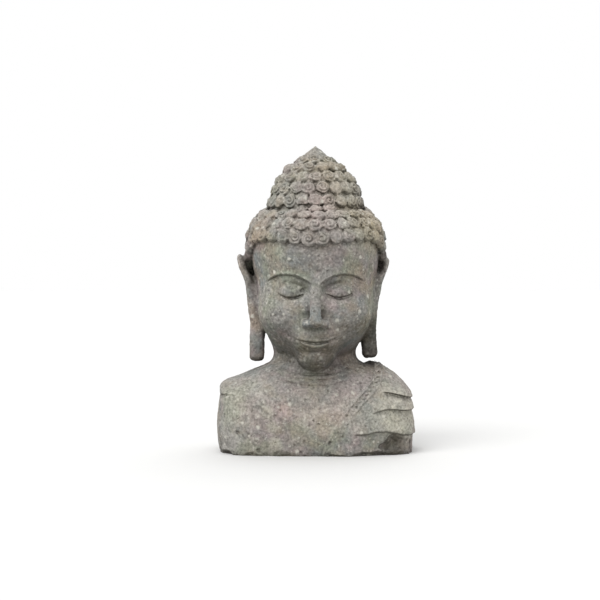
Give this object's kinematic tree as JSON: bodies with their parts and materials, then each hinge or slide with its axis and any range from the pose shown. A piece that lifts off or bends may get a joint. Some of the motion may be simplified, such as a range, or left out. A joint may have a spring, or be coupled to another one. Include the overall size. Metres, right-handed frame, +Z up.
{
  "type": "stone buddha bust",
  "caption": "Carved stone bust of a serene figure with snail-shell curls, a topknot, long ear lobes and a pleated robe over one shoulder, cut flat below.",
  "frame": {"origin": "on the flat underside, below the axis of the neck and the topknot", "axes": "+Z up along the neck and the topknot, the face looks along -Y, and the robed shoulder is on +X"},
  "size_m": [0.3884, 0.3215, 0.5995],
  "materials": {
    "stone": "weathered grey volcanic stone, matt, open-grained, with pale specks, pink and green tints and dirt in the hollows"
  },
  "bodies": {
    "root": {"stone_bust": "stone"}
  },
  "joints": []
}
